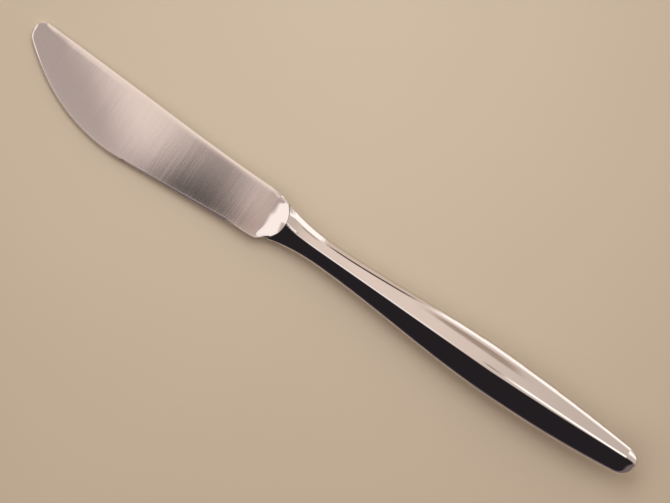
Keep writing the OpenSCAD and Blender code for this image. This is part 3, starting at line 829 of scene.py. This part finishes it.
# A direction as degrees from straight up, split into its parts toward +X and toward +Y
lean = calc(tree, "ARCCOSINE", way_z)
lean = calc(tree, "DEGREES", lean)
flat = add_node(tree, "ShaderNodeCombineXYZ", None, {0: way_x, 1: way_y})[0]
flat = add_node(tree, "ShaderNodeVectorMath", {"operation": "NORMALIZE"}, {0: flat})[0]
flat = add_node(tree, "ShaderNodeVectorMath", {"operation": "SCALE"}, {0: flat, "Scale": lean})[0]
lean_x, lean_y, _ = add_node(tree, "ShaderNodeSeparateXYZ", None, {0: flat})
steel_shine = 0.78


def lit(colour, share=1.0):
    """Light that shows as this colour in the polished steel, which takes up part of it."""
    return [c / steel_shine * share for c in linear(colour)[:3]] + [1.0]


def soft_step(value, start, end, low=0.0, high=1.0):
    """A smooth way from low to high as value goes from start to end."""
    return add_node(tree, "ShaderNodeMapRange", {"interpolation_type": "SMOOTHSTEP"},
                    {"Value": value, "From Min": start, "From Max": end,
                     "To Min": low, "To Max": high})[0]


def over(colour, panel, *edges):
    """A panel laid over what is there, cut to the product of its soft edges."""
    share = edges[0]
    for edge in edges[1:]:
        share = calc(tree, "MULTIPLY", share, edge)
    return blended(tree, share, colour, panel)


# The lit ceiling, a little darker toward +X, and its edge to the dark room
ceiling = over(lit("#dccabf"), lit("#c0b1a8"), soft_step(lean_x, -2, 16))
ceiling = over(ceiling, lit("#f3e9e6"), soft_step(lean_x, 5, 1), soft_step(lean_y, -4, -14))
ceiling = over(ceiling, lit("#ecdace"), soft_step(lean_x, -1, -3), soft_step(lean_y, 4, 12))
edge = add_node(tree, "ShaderNodeMapRange", None,
                {"Value": lean_x, "From Min": 8.0, "From Max": 15.5,
                 "To Min": -38.0, "To Max": 9.0})[0]
far_edge = add_node(tree, "ShaderNodeMapRange", None,
                    {"Value": lean_x, "From Min": 15.5, "From Max": 30.0, "To Max": 7.0})[0]
edge = calc(tree, "ADD", edge, far_edge)
above = calc(tree, "SUBTRACT", lean_y, edge)
room = over(lit("#231f22"), lit("#6f6263"), soft_step(lean, 62, 70))
colour = over(room, ceiling, soft_step(above, -6, 6))
# White past the blade's front, greyer where it begins overhead, low down, toward the light, and
# most of all low on the room's side
colour = over(colour, lit("#c8bab2"), soft_step(lean_x, -12, -16), soft_step(lean_y, -50, -40))
colour = over(colour, lit("#fbf0ec"), soft_step(lean_x, -20, -42), soft_step(lean_y, -50, -40))
colour = over(colour, lit("#fbf0ec"), soft_step(lean_x, -5, -9), soft_step(lean_y, -3.5, -8.5),
              soft_step(lean_y, -50, -40))
colour = over(colour, lit("#b9aba2"), soft_step(lean_x, -32, -44), soft_step(lean_y, -28, -38))
colour = over(colour, lit("#cfc1b9"), soft_step(lean_x, -60, -66), soft_step(lean_y, -30, -38))
colour = over(colour, lit("#cfc1b9"), soft_step(lean_x, -74, -80))
colour = over(colour, lit("#c6b7af"), soft_step(lean_x, -18, -28),
              soft_step(lean_y, 4, 16, 0.0, 0.4), soft_step(lean_y, 70, 50))
# The wall behind the light, with the dark line where it meets the ceiling
colour = over(colour, lit("#cbb7a8"), soft_step(lean_x, 2.2, 0.2), soft_step(lean_y, 54, 60))
colour = over(colour, lit("#2c2221"), soft_step(lean_x, -0.1, -1.1), soft_step(lean_x, -4.4, -3.2),
              soft_step(lean_y, 44, 48), soft_step(lean_y, 62, 59))
# White panels: one low behind the light, its corner toward +X, and a narrow strip
colour = over(colour, lit("#fff8f2", 1.04), soft_step(lean_x, -0.4, 1.8), soft_step(lean_y, 46, 58))
colour = over(colour, lit("#fff8f2", 1.1), soft_step(lean_x, 20, 24), soft_step(lean_y, 33, 38))
colour = over(colour, lit("#cbbfb8"), soft_step(lean_x, 25, 32), soft_step(lean_y, 42, 54))
colour = over(colour, lit("#8a7a71"), soft_step(lean_x, 6.2, 6.8), soft_step(lean_x, 8.4, 7.6),
              soft_step(lean_y, 18, 20), soft_step(lean_y, 27, 25))
colour = over(colour, lit("#fffaf6", 1.1), soft_step(lean_x, 7.5, 9.5), soft_step(lean_x, 24, 20),
              soft_step(lean_y, 11, 16), soft_step(lean_y, 27.5, 25.5))
# A grey card between the light and the knife
colour = over(colour, lit("#a08d80"), soft_step(lean_x, 0.4, 2.6), soft_step(lean_x, 9.8, 8.0),
              soft_step(lean_y, 33.2, 34.8), soft_step(lean_y, 42.5, 41))
# Overhead, over the blade: a light shape, a grey one past a slanted border, a dark band that
# widens and deepens toward the room, and a grey strip toward the handle
past = calc(tree, "MULTIPLY_ADD", lean_y, 2.0, lean_x)
overhead = [soft_step(past, -42, -25), soft_step(lean_y, 36, 4), soft_step(lean_y, -7.9, -6.9)]
colour = over(colour, lit("#e3d1ca"), soft_step(lean_x, -1.4, -2.6), *overhead)
colour = over(colour, lit("#786962"), soft_step(lean_x, -5.3, -3.9), soft_step(lean_x, -1.4, -2.6),
              soft_step(lean_y, -2, -8), *overhead)
low_part = calc(tree, "MINIMUM", lean_y, 4.0)
border = calc(tree, "MULTIPLY_ADD", low_part, 0.394, lean_x)
colour = over(colour, lit("#ab9d98"), soft_step(border, -9.35, -12.35), *overhead)
left_x = calc(tree, "MULTIPLY_ADD", lean_y, -0.071, lean_x)
right_x = calc(tree, "MULTIPLY_ADD", lean_y, 0.025, lean_x)
colour = over(colour, lit("#131216"), soft_step(lean_y, 4.5, -9.8, 0.52, 0.97),
              soft_step(left_x, -8.5, -5.85), soft_step(right_x, -3.5, -5.2),
              soft_step(lean_y, 50, 4), overhead[0], overhead[2])
colour = over(colour, lit("#b7a39b"), soft_step(lean_x, -4.15, -3.4), soft_step(lean_x, -1.4, -2.2),
              soft_step(lean_y, 26, 4), overhead[2])
# Low on the room's side, what the fine bevel mirrors
colour = over(colour, lit("#6f6263"), soft_step(lean_x, 1.5, -0.5), soft_step(lean_y, -62, -66))
colour = over(colour, lit("#857671"), soft_step(lean_x, -2.5, -4.5), soft_step(lean_y, -50, -55))
colour = over(colour, lit("#a39185"), soft_step(lean_x, -6, -16), soft_step(lean_y, -48, -54))
background = add_node(tree, "ShaderNodeBackground", None, {"Color": colour, "Strength": 1.0})[0]
add_node(tree, "ShaderNodeOutputWorld", None, {"Surface": background})

# The soft light over the knife. The steel doesn't mirror it, as the world holds what it mirrors.
key = bpy.data.lights.new("key_softbox", "AREA")
key.shape = "RECTANGLE"
key.size, key.size_y = 0.17, 0.15
key.energy = 0.215
key.color = linear("#f6faff")[:3]
key_light = bpy.data.objects.new("key_softbox", key)
key_light.location = (-0.045, 0.086, 0.2)
key_light.rotation_euler = key_light.location.to_track_quat("Z", "Y").to_euler()
key_light.visible_glossy = False
bpy.context.scene.collection.objects.link(key_light)

# The camera looks straight down from far enough to see this width round the knife's middle
view_width, knife_middle = 0.1936, 0.0043
camera = bpy.data.cameras.new("camera")
camera.lens = 85
camera.sensor_width = 36
camera.clip_start = 0.01
camera_object = bpy.data.objects.new("camera", camera)
camera_object.location = (
    0.0005, 0.00355, knife_middle + view_width / camera.sensor_width * camera.lens)
camera_object.rotation_euler = (0, 0, math.radians(34.87))
bpy.context.scene.collection.objects.link(camera_object)
bpy.context.scene.camera = camera_object
bpy.context.scene.view_settings.view_transform = "Standard"
